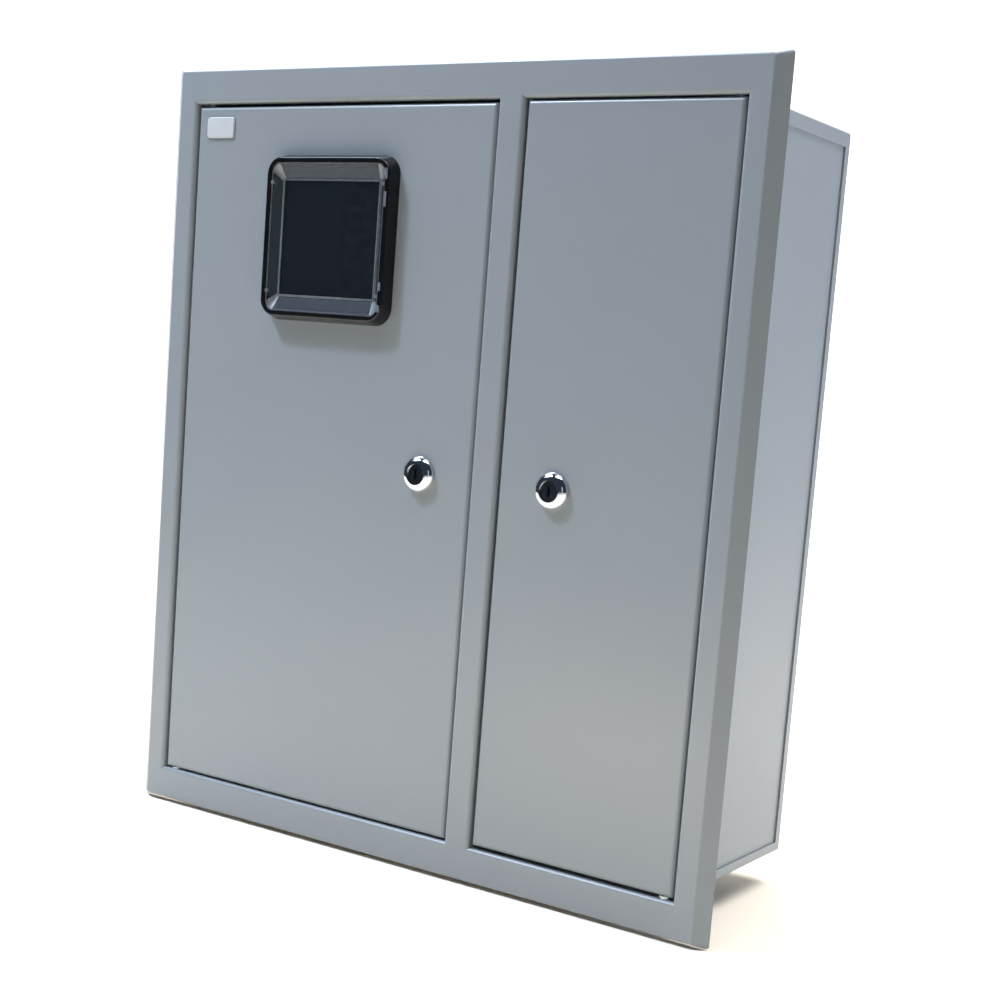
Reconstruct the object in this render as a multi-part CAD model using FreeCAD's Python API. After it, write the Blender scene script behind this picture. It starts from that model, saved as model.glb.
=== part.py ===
import FreeCAD, Part
import math
import os

# A flush meter box: a sheet-steel case let into the wall, a front frame with two doors, and the
# fittings behind them. Lengths are millimetres. X runs to the right, Z up, and the doors face -Y.
# The origin is the centre of the back's outer face, between the four wall fixing holes.

# Front frame
face_width = 453.0          # flat front, between the bends of the side rims
face_height = 520.0
box_depth = 170.0           # flat front to the back's outer face
side_border = 12.0          # flat strip beside a door
end_border = 19.4           # flat strip above and below a door
bar_flat = 13.5             # flat strip between the doors
meter_opening = 259.5       # flat edge to flat edge of the meter doorway
rim_side_out = 8.8          # how far the side rims stand out past the flat front
rim_end_out = 2.8           # the same for the top and bottom rims
rim_back = 7.2              # how far the rims fall back
rim_corner = 3.0
rim_bend = 1.6
sheet = 1.2                 # steel sheet of frame, case and doors
bend = 2.8                  # outside radius of a fold at a doorway or a door edge
rebate = 20.8               # flat front to the stop flange that a door closes towards
stop_width = 14.0

# Wall case
case_inset_side = 20.5      # case side behind the flat front's side edge
case_inset_end = 18.7       # case top and bottom, likewise
lap_top = 10.0              # strips of the wrap that lap over the side panels
lap_rear = 8.0
lap_bottom = 7.0
case_bend = 2.0
front_flange = 14.0         # flange turned in at the front of top and bottom
fixing_from_side = 36.0
fixing_from_end = 41.3
fixing_radius = 4.0
knockout_slit = 0.8
knockout_tab = 3.0
knockout_set_back = 74.0    # knock-out centres in front of the back's outer face
meter_knockout_radius = 20.0
breaker_knockout_radius = 14.0

# Doors
door_gap = 1.5              # between a door edge and its doorway
door_set_back = 1.8         # door face behind the flat front
door_depth = 16.0
door_step = 0.5             # the meter door hangs this much low, the breaker door as much high
pin_inset = 7.0             # hinge pin from the door's edge
pin_set_back = 5.5          # hinge pin behind the door's face
pin_radius = 2.0
pin_head_radius = 3.5
pin_head = 1.5
running = 0.1               # radial clearance of a turning fit, and the play beside a washer
lug = 2.0                   # thickness of a hinge lug
lug_length = 18.0
lug_depth = 9.0
pin_reach = 1.5             # pin past the lug
washer_radius = 4.6
bracket = 2.0
bracket_length = 18.0
bracket_depth = 12.0
bracket_height = 9.0
buffer_radius = 4.0
buffer_play = 0.3
buffer_from_end = 40.0

# Locks
lock_inset = 40.0           # lock axis from the door's free edge
lock_head_radius = 11.9
lock_head = 5.2
lock_lip = 1.2
lock_body_radius = 9.5
lock_hole_play = 0.2
lock_flat = 8.2             # half distance across the two flats of the lock body
plug_radius = 6.4
plug_play = 0.05
plug_recess = 0.8
key_slot_width = 1.6
key_slot_height = 7.0
key_slot_depth = 3.0
cam_play = 0.4              # cam behind the flange it locks against, and behind the lock body
cam = 2.5
cam_length = 38.0           # lock axis to the cam's tip
cam_width = 14.0
cam_square = 7.0
cam_bolt_flats = 8.7
cam_bolt_head = 3.0
lock_nut = 4.0
lock_nut_flats = 24.0

# Window
window_from_side = 71.2     # bezel's edge from the door's hinge edge
window_from_top = 32.8
window_width = 108.0
window_height = 110.0
window_proud = 9.0          # bezel front in front of the door's face
window_corner = 12.5
bezel_draft = 2.5
bezel_rim = 3.0             # flat rim round the pane
bezel_edge = 1.0
collar_wall = 2.0
aperture_inset = 6.0        # door cut-out inside the bezel's edge
aperture_corner = 6.5
aperture_play = 0.4
collar_reach = 5.0          # collar past the back of the door sheet
pane = 2.0
pane_lip_drop = 1.2         # pane's lip behind the bezel's rim
pane_floor_width = 84.0
pane_floor_height = 79.0
pane_floor_drop = 6.0       # pane's flat floor behind the bezel's rim
pane_edge = 1.0             # flat edge outside the slopes
pane_bead = 0.8             # fine bead round the floor
pane_corner = 2.0
pane_play = 0.2
pane_post_radius = 1.2      # moulded posts on the lip, near the floor's corners
pane_post_height = 1.0
pane_post_inset = 3.5
catch_reach = 1.8           # pane's catches, out into the bezel's rim
catches = ((8.5, 16.0), (23.7, 33.7), (81.7, 87.5), (96.5, 101.5))  # on the right, from the bezel's top
retainer = 4.0
window_screw_inset = 6.2
screw_bite = 4.0            # screw into the bezel

# Badge
badge_width = 25.0
badge_height = 14.2
badge_thick = 1.4
badge_corner = 2.6
badge_edge = 0.6
badge_from_side = 8.9       # badge's edge from the door's hinge edge
badge_from_top = 7.2

# Meter compartment
hat_depth = 30.0
hat_web = 20.0
hat_foot = 12.0
hat_end_gap = 9.4           # end of a hat rail from the compartment's wall
hat_sheet = 1.5
plate_side_gap = 20.4       # plate's edge from the compartment's wall
plate_height = 330.0
plate = 1.5
plate_corner = 6.0
plate_from_top = 20.1
hat_from_end = 45.0
slot_radius = 2.75
slot_length = 30.0
slot_span_x = 105.0
slot_span_z = 150.0
hang_slot_length = 60.0
hang_slot_above = 35.0

# Partition
partition_flange = 20.0
partition_foot = 12.0
partition_play = 0.9
cable_slot_height = 60.0
cable_slot_depth = 40.0
cable_slot_rise = 170.0
cable_slot_set_back = 60.0

# Breaker compartment
post_depth = 51.3
post_sheet = 1.5
post_foot = 14.0
post_end_gap = 20.1         # end of an upright from the case's top or bottom
post_from_side = 14.0
rail_width = 35.0
rail_hat = 25.0
rail_depth = 7.5
rail_sheet = 1.0
rail_past_post = 15.4       # rail past the middle of an upright
rail_pitch = 125.0
rail_middle = -15.0
cover_forward = 47.0        # cover in front of the rails
cover_play = 1.6
cover_end_gap = 15.1
cover_return = 15.0
cover_window_margin = 12.5  # window's side from the cover's edge
cover_corner = 2.0
cover_window_height = 45.0
cover_bracket = 1.5
cover_bracket_leg = 13.0
cover_bracket_height = 20.0
cover_bracket_depth = 18.0
cover_screw_from_end = 22.0
bar_past_post = 7.0
bar_depth = 8.0
bar_height = 9.0
bar_stand = 18.0
bar_stand_radius = 6.0
bar_hole_radius = 2.3
bar_hole_pitch = 11.0
bar_hole_from_post = 9.0
neutral_bar_from_top = 55.1
earth_bar_from_bottom = 50.1

# Fasteners, by thread radius
m3 = 1.5
m4 = 2.0
m5 = 2.5
m6 = 3.0
head_ratio = 1.8            # head radius to shank radius
head_height_ratio = 0.9
thread_reach = 5.0          # screw past the sheet that it holds
hole_play = 0.2
stud_length = 16.0
stud_nut = 5.0
nut_flats_ratio = 1.65      # across flats, to the thread's diameter
earth_stud_from_side = 24.0
earth_stud_set_back = 60.0
door_stud_length = 11.0
door_stud_inset = 30.0
door_stud_rise = 60.0


# Places worked out from the sizes above
front_y = -box_depth
rebate_y = front_y + rebate
frame_rear_y = rebate_y + sheet
case_half_x = face_width / 2 - case_inset_side
case_half_z = face_height / 2 - case_inset_end
inner_half_z = case_half_z - sheet
panel_inner_x = case_half_x - 2 * sheet
door_face_y = front_y + door_set_back
door_rear_y = door_face_y + door_depth
pin_y = door_face_y + pin_set_back
wall_z = face_height / 2 - end_border - bend
bar_left = -face_width / 2 + side_border + meter_opening
bar_right = bar_left + bar_flat
bar_middle = (bar_left + bar_right) / 2
meter_doorway = (-face_width / 2 + side_border + bend, bar_left - bend)
breaker_doorway = (bar_right + bend, face_width / 2 - side_border - bend)
meter_door_x = (meter_doorway[0] + door_gap, meter_doorway[1] - door_gap)
breaker_door_x = (breaker_doorway[0] + door_gap, breaker_doorway[1] - door_gap)
meter_pin_x = meter_door_x[0] + pin_inset
breaker_pin_x = breaker_door_x[1] - pin_inset
meter_lock_x = meter_door_x[1] - lock_inset
breaker_lock_x = breaker_door_x[0] + lock_inset
partition_x = bar_middle - sheet / 2
cam_y = frame_rear_y + sheet + cam_play
lock_rear_y = cam_y - cam_play / 2
breaker_left = partition_x + sheet
breaker_middle = (breaker_left + panel_inner_x) / 2
post_front_y = -sheet - post_depth
neutral_bar_z = inner_half_z - neutral_bar_from_top
earth_bar_z = earth_bar_from_bottom - inner_half_z
rail_face_y = post_front_y - rail_depth
cover_y = rail_face_y - cover_forward
plate_y = -sheet - hat_depth
meter_middle = (partition_x - panel_inner_x) / 2
meter_space = partition_x + panel_inner_x
meter_door_top = wall_z - door_gap - door_step
window_x = (meter_door_x[0] + window_from_side, meter_door_x[0] + window_from_side + window_width)
window_z = (meter_door_top - window_from_top - window_height, meter_door_top - window_from_top)


def vec(x, y, z):
    return FreeCAD.Vector(x, y, z)


def block(x, y, z):
    """Box between the two values of each pair."""
    return Part.makeBox(x[1] - x[0], y[1] - y[0], z[1] - z[0], vec(x[0], y[0], z[0]))


def rod(radius, start, end):
    """Cylinder from one point to another."""
    return Part.makeCylinder(radius, (end - start).Length, start, end - start)


def rounded_outline(x, z, radius, y):
    """Rectangle with round corners, standing in the plane of the doors."""
    cut = radius * (1 - math.sqrt(0.5))
    edges = []
    last = first = None
    for side, up in ((-1, -1), (1, -1), (1, 1), (-1, 1)):
        corner_x = x[0] if side < 0 else x[1]
        corner_z = z[0] if up < 0 else z[1]
        beside = vec(corner_x, y, corner_z - up * radius)
        level = vec(corner_x - side * radius, y, corner_z)
        middle = vec(corner_x - side * cut, y, corner_z - up * cut)
        start, end = (beside, level) if side == up else (level, beside)
        if last:
            edges.append(Part.makeLine(last, start))
        edges.append(Part.Arc(start, middle, end).toShape())
        first = first or start
        last = end
    edges.append(Part.makeLine(last, first))
    return Part.Wire(edges)


def rounded_block(x, y, z, radius):
    """Block with its four corners rounded as seen from the front."""
    return Part.Face(rounded_outline(x, z, radius, y[0])).extrude(vec(0, y[1] - y[0], 0))


def rectangle(half_x, half_z, y):
    signs = ((-1, -1), (1, -1), (1, 1), (-1, 1))
    points = [vec(a * half_x, y, b * half_z) for a, b in signs]
    return Part.makePolygon(points + points[:1])


def drilled(shape, radius, x, z, y):
    """Shape with a hole from front to back at x, z; y is the pair that the hole runs between."""
    return shape.cut(rod(radius, vec(x, y[0] - 1, z), vec(x, y[1] + 1, z)))


def pin_hole(radius, x, z):
    """Upright hole on a hinge axis; z is the pair that it runs between."""
    return rod(radius, vec(x, pin_y, min(z) - 1), vec(x, pin_y, max(z) + 1))


def around(middle, span):
    return (middle - span / 2, middle + span / 2)


def grown(pair, by):
    return (pair[0] - by, pair[1] + by)


def edges_where(shape, test):
    """Edges whose bounding box passes a test."""
    return [edge for edge in shape.Edges if test(edge.BoundBox)]


def near(a, b):
    return abs(a - b) < 1e-4


def hexagon(flats, height, base, axis):
    """Hexagonal prism on a base point, along an axis."""
    corner = flats / math.sqrt(3)
    points = []
    for step in range(7):
        a = math.radians(60 * step)
        points.append(vec(corner * math.cos(a), corner * math.sin(a), 0))
    prism = Part.Face(Part.makePolygon(points)).extrude(vec(0, 0, height))
    prism.Placement = FreeCAD.Placement(base, FreeCAD.Rotation(vec(0, 0, 1), axis))
    return prism


def screw(radius, seat, axis, reach):
    """Cheese-head screw: seat is under the head, and axis points into the sheet."""
    head = rod(radius * head_ratio, seat - axis * (radius * head_height_ratio), seat)
    return head.fuse(rod(radius, seat, seat + axis * reach)).removeSplitter()


def nut(radius, height, base, axis, hole):
    body = hexagon(2 * radius * nut_flats_ratio, height, base, axis)
    return body.cut(rod(hole, base - axis, base + axis * (height + 1)))


def save(name, shapes):
    solids = []
    for shape in shapes if isinstance(shapes, list) else [shapes]:
        solids += shape.Solids
    whole = solids[0] if len(solids) == 1 else Part.makeCompound(solids)
    if not whole.isValid():
        raise ValueError(name + " isn't a valid solid")
    whole.exportStep("parts/" + name + ".step")
    print(name, len(solids), round(whole.Volume / 1000, 2), "cm3")


# Front frame: flat front with rims turned back outside, and a return and a stop flange round each doorway

def rim_offset(out):
    """Sideways distance between the two skins of a slanted rim."""
    return sheet * math.hypot(out, rim_back) / rim_back


def front_tray():
    half_x = face_width / 2
    half_z = face_height / 2
    outer = Part.makeLoft([rectangle(half_x, half_z, front_y),
                           rectangle(half_x + rim_side_out, half_z + rim_end_out, front_y + rim_back)],
                          True, True)
    slanted = edges_where(outer, lambda b: b.YLength > rim_back / 2)
    outer = outer.makeFillet(rim_corner, slanted)
    outer = outer.makeFillet(rim_bend, edges_where(outer, lambda b: near(b.YMax, front_y)))
    side = rim_offset(rim_side_out)
    end = rim_offset(rim_end_out)
    side_slope = rim_side_out / rim_back
    end_slope = rim_end_out / rim_back
    past = 1.0
    inner = Part.makeLoft([rectangle(half_x + side_slope * sheet - side, half_z + end_slope * sheet - end,
                                     front_y + sheet),
                           rectangle(half_x + side_slope * (rim_back + past) - side,
                                     half_z + end_slope * (rim_back + past) - end,
                                     front_y + rim_back + past)], True, True)
    slanted = edges_where(inner, lambda b: b.YLength > rim_back / 2)
    inner = inner.makeFillet(rim_corner - sheet, slanted)
    return outer.cut(inner)


def doorway_return(x):
    """Return wall and stop flange folded back round one doorway."""
    z = (-wall_z, wall_z)
    outer = block(grown(x, sheet), (front_y, frame_rear_y), grown(z, sheet))
    hollow = block(x, (front_y - 1, rebate_y), z)
    way = block(grown(x, -stop_width), (front_y, frame_rear_y + 1), grown(z, -stop_width))
    return outer.cut(hollow).cut(way)


def frame_screw_places():
    """Screws through the stop flanges into the case flanges, above and below each doorway."""
    overlap = (inner_half_z + sheet - front_flange + wall_z) / 2
    places = []
    for x in (meter_doorway, breaker_doorway):
        quarter = (x[1] - x[0]) / 4
        for across in (x[0] + quarter, x[1] - quarter):
            places += [(across, overlap), (across, -overlap)]
    return places


def pin_places():
    return [(x, side) for x in (meter_pin_x, breaker_pin_x) for side in (1, -1)]


def doorway_edges(frame, y):
    """Edges round the doorways that lie in the plane at y."""
    inside = (face_width - side_border) / 2
    return edges_where(frame, lambda b: near(b.YMax, y) and near(b.YMin, y)
                       and max(b.XMax, -b.XMin) < inside)


def front_frame():
    frame = front_tray()
    for x in (meter_doorway, breaker_doorway):
        frame = frame.cut(block(x, (front_y - 1, front_y + bend), (-wall_z, wall_z)))
        frame = frame.fuse(doorway_return(x))
    frame = frame.removeSplitter()
    frame = frame.makeFillet(bend, doorway_edges(frame, front_y))
    frame = frame.makeFillet(bend - sheet, doorway_edges(frame, front_y + sheet))
    for x, side in pin_places():
        frame = frame.cut(pin_hole(pin_radius + running, x, (side * wall_z, side * (wall_z + sheet))))
    for x, z in frame_screw_places() + partition_screw_places():
        frame = drilled(frame, m5 + hole_play, x, z, (rebate_y, frame_rear_y))
    return frame


# Case: a wrap folded into top, back and bottom, with strips that lap over the two side panels

def knockout(x, radius, z):
    """Slit ring through top or bottom, at a quarter of a compartment's width, all but two tabs."""
    y = -knockout_set_back
    ring = rod(radius, vec(x, y, z - sheet), vec(x, y, z + sheet))
    ring = ring.cut(rod(radius - knockout_slit, vec(x, y, z - sheet), vec(x, y, z + sheet)))
    return ring.cut(block(around(x, 2 * radius + 2), around(y, knockout_tab), around(z, 3 * sheet)))


def knockouts():
    breaker_space = panel_inner_x - breaker_left
    rings = []
    for z in (case_half_z - sheet / 2, sheet / 2 - case_half_z):
        for x in around(meter_middle, meter_space / 2):
            rings.append(knockout(x, meter_knockout_radius, z))
        for x in around(breaker_middle, breaker_space / 2):
            rings.append(knockout(x, breaker_knockout_radius, z))
    return rings


def case_wrap():
    outer = block((-case_half_x, case_half_x), (frame_rear_y, 0), (-case_half_z, case_half_z))
    outer = outer.makeFillet(case_bend, edges_where(outer, lambda b: not near(b.YMax, frame_rear_y)))
    across = (sheet - case_half_x, case_half_x - sheet)
    inner = block(across, (frame_rear_y, -sheet), (-inner_half_z, inner_half_z))
    folds = edges_where(inner, lambda b: not near(b.YMax, frame_rear_y))
    inner = inner.makeFillet(case_bend - sheet, folds)
    wrap = outer.cut(inner)
    bare = (lap_bottom - case_half_z, case_half_z - lap_top)
    for side in (1, -1):
        skin_x = sorted((side * (case_half_x + 1), side * (case_half_x - case_bend - sheet)))
        wrap = wrap.cut(block(skin_x, (frame_rear_y - 1, -lap_rear), bare))
    flange_y = (frame_rear_y, frame_rear_y + sheet)
    flange_end = case_half_z - front_flange
    for low, high in ((flange_end, inner_half_z), (-inner_half_z, -flange_end)):
        wrap = wrap.fuse(block(across, flange_y, (low, high)))
    wrap = wrap.removeSplitter()
    for ring in knockouts():
        wrap = wrap.cut(ring)
    for x in grown((-case_half_x, case_half_x), -fixing_from_side):
        for z in grown((-case_half_z, case_half_z), -fixing_from_end):
            wrap = drilled(wrap, fixing_radius, x, z, (-sheet, 0))
    for x, z in frame_screw_places():
        wrap = drilled(wrap, m5, x, z, flange_y)
    return wrap


def corner_notches(x, short):
    """Room for the wrap's front flanges at the front corners of an upright sheet."""
    y = (frame_rear_y - 1, frame_rear_y + 2 * sheet)
    return [block(grown(x, 1), y, z) for z in ((short, case_half_z), (-case_half_z, -short))]


def side_panel(side):
    """Flat side of the case, its flange turned in as far as the frame's stop flange; side is 1 or -1."""
    outer_x = case_half_x - sheet
    web = block((panel_inner_x, outer_x), (frame_rear_y, -sheet), (-inner_half_z, inner_half_z))
    short = case_half_z - front_flange - hole_play
    flange_x = (breaker_doorway[1] - stop_width, outer_x)
    flange = block(flange_x, (frame_rear_y, frame_rear_y + sheet), (-short, short))
    for notch in corner_notches((panel_inner_x, outer_x), short):
        web = web.cut(notch)
    beside_folds = edges_where(web, lambda b: near(b.XMin, outer_x) and near(b.XMax, outer_x)
                               and (near(b.YMin, -sheet) or near(abs(b.Center.z), inner_half_z)))
    web = web.makeChamfer(case_bend - sheet, beside_folds)
    panel = web.fuse(flange).removeSplitter()
    fold = edges_where(panel, lambda b: near(b.YMax, frame_rear_y) and near(b.XMin, outer_x))
    panel = panel.makeFillet(case_bend - sheet / 2, fold)
    if side < 0:
        panel = panel.mirror(vec(0, 0, 0), vec(1, 0, 0))
    return panel


# Partition: a sheet behind the bar, with a flange screwed to the frame and a foot on the back

def partition_screw_places():
    flange_end = partition_x + partition_flange
    x = (breaker_doorway[0] - sheet + flange_end) / 2
    return [(x, z) for z in around(0, cable_slot_rise)]


def partition():
    z = (partition_play - inner_half_z, inner_half_z - partition_play)
    short = case_half_z - front_flange - partition_play
    web = block((partition_x, partition_x + sheet), (frame_rear_y, -sheet), z)
    foot = block((partition_x, partition_x + partition_foot), (-2 * sheet, -sheet), z)
    flange_y = (frame_rear_y, frame_rear_y + sheet)
    flange = block((partition_x, partition_x + partition_flange), flange_y, (-short, short))
    web_x = (partition_x, partition_x + sheet)
    wall = web.fuse(foot)
    for notch in corner_notches(web_x, short):
        wall = wall.cut(notch)
    wall = wall.fuse(flange).removeSplitter()
    for z in around(0, 2 * cable_slot_rise):
        slot_y = around(-cable_slot_set_back, cable_slot_depth)
        slot = block(grown(web_x, 1), slot_y, around(z, cable_slot_height))
        slot = slot.makeFillet(cable_slot_depth / 4, edges_where(slot, lambda b: b.XLength > sheet))
        wall = wall.cut(slot)
    for x, z in partition_screw_places():
        wall = drilled(wall, m5, x, z, flange_y)
    return wall


def frame_screws():
    reach = 2 * sheet + thread_reach
    places = frame_screw_places() + partition_screw_places()
    return [screw(m5 - hole_play / 2, vec(x, rebate_y, z), vec(0, 1, 0), reach) for x, z in places]


# Hinges: a bracket and a headed pin behind the frame at each end of a door, a washer in the gap

def hinge_bracket(x, side):
    base = side * (wall_z + sheet)
    foot_z = sorted((base, base + side * bracket))
    back_z = sorted((base, base + side * bracket_height))
    y = front_y + sheet
    foot = block(around(x, bracket_length), (y, y + bracket_depth), foot_z)
    back = block(around(x, bracket_length), (y, y + bracket), back_z)
    relief = bend - sheet
    shape = foot.fuse(back).removeSplitter()
    corner = edges_where(shape, lambda b: near(b.YMax, y) and near(b.ZMin, base) and near(b.ZMax, base))
    shape = shape.makeChamfer(relief, corner)
    return shape.cut(pin_hole(pin_radius + running / 2, x, foot_z))


def door_end_z(door, side):
    """Height of a door's top or bottom edge; door is -1 for the meter door and 1 for the breaker door."""
    return side * (wall_z - door_gap) + door * door_step


def hinge_pin(x, side, door):
    top = side * (wall_z + sheet + bracket)
    tip = door_end_z(door, side) - side * (sheet + lug + pin_reach)
    head = rod(pin_head_radius, vec(x, pin_y, top), vec(x, pin_y, top + side * pin_head))
    return head.fuse(rod(pin_radius, vec(x, pin_y, top), vec(x, pin_y, tip))).removeSplitter()


def hinge_washer(x, side, door):
    low, high = sorted((side * wall_z, door_end_z(door, side)))
    ring = rod(washer_radius, vec(x, pin_y, low + running), vec(x, pin_y, high - running))
    return ring.cut(pin_hole(pin_radius + running, x, (low, high)))


def door_buffer(x, z):
    half = (rebate_y - door_rear_y - buffer_play) / 2
    middle = vec(x, rebate_y - half, z)
    crown = Part.makeCone(buffer_radius, buffer_radius - half, half, middle, vec(0, -1, 0))
    return rod(buffer_radius, vec(x, rebate_y, z), middle).fuse(crown).removeSplitter()


def door_buffers():
    height = wall_z - buffer_from_end
    meter_x = meter_door_x[1] - buffer_radius
    breaker_x = breaker_door_x[0] + buffer_radius
    return [door_buffer(x, z) for x in (meter_x, breaker_x) for z in (-height, height)]


# Doors: folded pans with an earth stud, hinge lugs and a lock

def door_pan(x, door, lock_x, pin_x):
    z = (door_end_z(door, -1), door_end_z(door, 1))
    outer = block(x, (door_face_y, door_rear_y), z)
    outer = outer.makeFillet(bend, edges_where(outer, lambda b: near(b.YMax, door_face_y)))
    inner = block(grown(x, -sheet), (door_face_y + sheet, door_rear_y + 1), grown(z, -sheet))
    inner = inner.makeFillet(bend - sheet, edges_where(inner, lambda b: near(b.YMax, door_face_y + sheet)))
    pan = outer.cut(inner)
    through = (door_face_y - 1, door_face_y + sheet + 1)
    hole = rod(lock_body_radius + lock_hole_play, vec(lock_x, through[0], 0), vec(lock_x, through[1], 0))
    flats = around(lock_x, 2 * (lock_flat + lock_hole_play))
    pan = pan.cut(hole.common(block(flats, through, around(0, 3 * lock_body_radius))))
    for edge in (z[0] + sheet / 2, z[1] - sheet / 2):
        pan = pan.cut(pin_hole(pin_radius + running, pin_x, around(edge, sheet)))
    return pan


def meter_door():
    pan = door_pan(meter_door_x, -1, meter_lock_x, meter_pin_x)
    through = (door_face_y, door_face_y + sheet)
    pan = pan.cut(window_block(aperture_inset, grown(through, 1), aperture_corner))
    for x, z in window_screw_places():
        pan = drilled(pan, m3 + hole_play, x, z, through)
    return pan


def hinge_lugs(pin_x, door, hinge_side):
    """Plates welded inside the door's top and bottom flanges; hinge_side is -1 at the left."""
    lugs = []
    for side in (1, -1):
        base = door_end_z(door, side) - side * sheet
        z = sorted((base, base - side * lug))
        edge = pin_x + hinge_side * (pin_inset - sheet)
        x = sorted((edge, edge - hinge_side * lug_length))
        y = (door_face_y + bend, door_face_y + bend + lug_depth)
        lugs.append(block(x, y, z).cut(pin_hole(pin_radius + running, pin_x, z)))
    return lugs


def door_stud_places(x):
    return x, door_face_y + sheet, -wall_z + door_stud_rise


def door_stud(x):
    px, py, pz = door_stud_places(x)
    return rod(m6, vec(px, py, pz), vec(px, py + door_stud_length, pz))


def door_stud_nut(x):
    px, py, pz = door_stud_places(x)
    return nut(m6, stud_nut, vec(px, py + sheet, pz), vec(0, 1, 0), m6)


# Locks: a chrome housing through the door, a nut behind it, and a plug that turns the cam

def lock_housing(x):
    y = door_face_y
    crown = plug_radius + plug_play + plug_recess
    shoulder = vec((lock_head_radius + crown + lock_lip) / 2, y - (lock_lip + 2 * lock_head) / 3, 0)
    profile = [Part.makeLine(vec(0, lock_rear_y, 0), vec(lock_body_radius, lock_rear_y, 0)),
               Part.makeLine(vec(lock_body_radius, lock_rear_y, 0), vec(lock_body_radius, y, 0)),
               Part.makeLine(vec(lock_body_radius, y, 0), vec(lock_head_radius, y, 0)),
               Part.makeLine(vec(lock_head_radius, y, 0), vec(lock_head_radius, y - lock_lip, 0)),
               Part.Arc(vec(lock_head_radius, y - lock_lip, 0), shoulder,
                        vec(crown, y - lock_head, 0)).toShape(),
               Part.makeLine(vec(crown, y - lock_head, 0), vec(0, y - lock_head, 0)),
               Part.makeLine(vec(0, y - lock_head, 0), vec(0, lock_rear_y, 0))]
    turned = Part.Face(Part.Wire(profile)).revolve(vec(0, 0, 0), vec(0, 1, 0), 360)
    bore = rod(plug_radius + plug_play, vec(0, y - lock_head - 1, 0), vec(0, lock_rear_y + 1, 0))
    turned = turned.cut(bore)
    for side in (1, -1):
        away = sorted((side * lock_flat, side * 2 * lock_body_radius))
        turned = turned.cut(block(away, (y, lock_rear_y + 1), around(0, 3 * lock_body_radius)))
    turned.translate(vec(x, 0, 0))
    return turned


def lock_nut_ring(x):
    y = door_face_y + sheet
    ring = hexagon(lock_nut_flats, lock_nut, vec(x, y, 0), vec(0, 1, 0))
    hole = rod(lock_body_radius + running / 2, vec(x, y - 1, 0), vec(x, y + lock_nut + 1, 0))
    return ring.cut(hole)


def lock_plug(x):
    """Turning barrel with its key slot, and the square tail that carries the cam."""
    face = door_face_y - lock_head + plug_recess
    barrel = rod(plug_radius, vec(x, face, 0), vec(x, cam_y, 0))
    slot = block(around(x, key_slot_width), (face - 1, face + key_slot_depth), around(0, key_slot_height))
    tail = block(around(x, cam_square), (cam_y, cam_y + cam), around(0, cam_square))
    return barrel.cut(slot).fuse(tail).removeSplitter()


def lock_cam(x):
    """Flat cam hanging down from the lock axis, as when the door is unlocked."""
    half = cam_width / 2
    boss = rod(half, vec(x, cam_y, 0), vec(x, cam_y + cam, 0))
    blade = block(around(x, cam_width), (cam_y, cam_y + cam), (-cam_length, 0))
    tip = edges_where(blade, lambda b: near(b.ZMax, -cam_length) and b.YLength > cam / 2)
    blade = blade.makeFillet(half / 2, tip)
    square = cam_square + 2 * plug_play
    hole = block(around(x, square), (cam_y - 1, cam_y + cam + 1), around(0, square))
    return boss.fuse(blade).removeSplitter().cut(hole)


def cam_bolt(x):
    return hexagon(cam_bolt_flats, cam_bolt_head, vec(x, cam_y + cam, 0), vec(0, 1, 0))


# Window: bezel through the door, pane in its rim, retainer and screws behind

def window_pairs(inset):
    return grown(window_x, -inset), grown(window_z, -inset)


def window_block(inset, y, corner):
    x, z = window_pairs(inset)
    return rounded_block(x, y, z, corner)


def collar_inset():
    return aperture_inset + aperture_play


def catch_blocks(y, play):
    """Notches in the right side of the bezel's rim, or with play the pane's catches that fill them."""
    edge = window_x[1] - bezel_draft - bezel_rim
    top = window_z[1]
    return [block((edge - 1, edge + catch_reach - play), y, grown((top - low, top - high), -play))
            for high, low in catches]


def window_bezel():
    x, z = window_pairs(0)
    x_front, z_front = window_pairs(bezel_draft)
    front = door_face_y - window_proud
    skirt = Part.makeLoft([rounded_outline(x_front, z_front, window_corner - bezel_draft / 2, front),
                           rounded_outline(x, z, window_corner, door_face_y)], True, True)
    skirt = skirt.makeFillet(bezel_edge, edges_where(skirt, lambda b: near(b.YMax, front)))
    collar_end = door_face_y + sheet + collar_reach
    collar = window_block(collar_inset(), (door_face_y, collar_end), aperture_corner)
    seat_inset = bezel_draft + bezel_rim
    seat_y = (front - 1, front + pane_lip_drop + pane)
    seat = window_block(seat_inset, seat_y, window_corner - seat_inset)
    way = window_block(collar_inset() + collar_wall, (front, collar_end + 1), pane_corner)
    bezel = skirt.fuse(collar).removeSplitter().cut(seat).cut(way)
    for notch in catch_blocks(seat_y, 0):
        bezel = bezel.cut(notch)
    for a, b in window_screw_places():
        bezel = drilled(bezel, m3, a, b, (door_face_y - screw_bite, door_face_y))
    return bezel


def pane_taper(wide, narrow, corners, y):
    """Tapering block between two rectangles about the window's middle, given as half sizes."""
    middle_x, middle_z = sum(window_x) / 2, sum(window_z) / 2
    outlines = [rounded_outline(around(middle_x, 2 * half_x), around(middle_z, 2 * half_z), corner, at)
                for (half_x, half_z), corner, at in zip((wide, narrow), corners, y)]
    return Part.makeLoft(outlines, True, True)


def window_halves(inset):
    return [(pair[1] - pair[0]) / 2 - inset for pair in (window_x, window_z)]


def pane_bead_ring(floor_x, floor_z, y):
    bead_y = around(y, 2 * pane_bead)
    outer = block(grown(floor_x, -pane_bead), bead_y, grown(floor_z, -pane_bead))
    return outer.cut(block(grown(floor_x, -2 * pane_bead), bead_y, grown(floor_z, -2 * pane_bead)))


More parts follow.
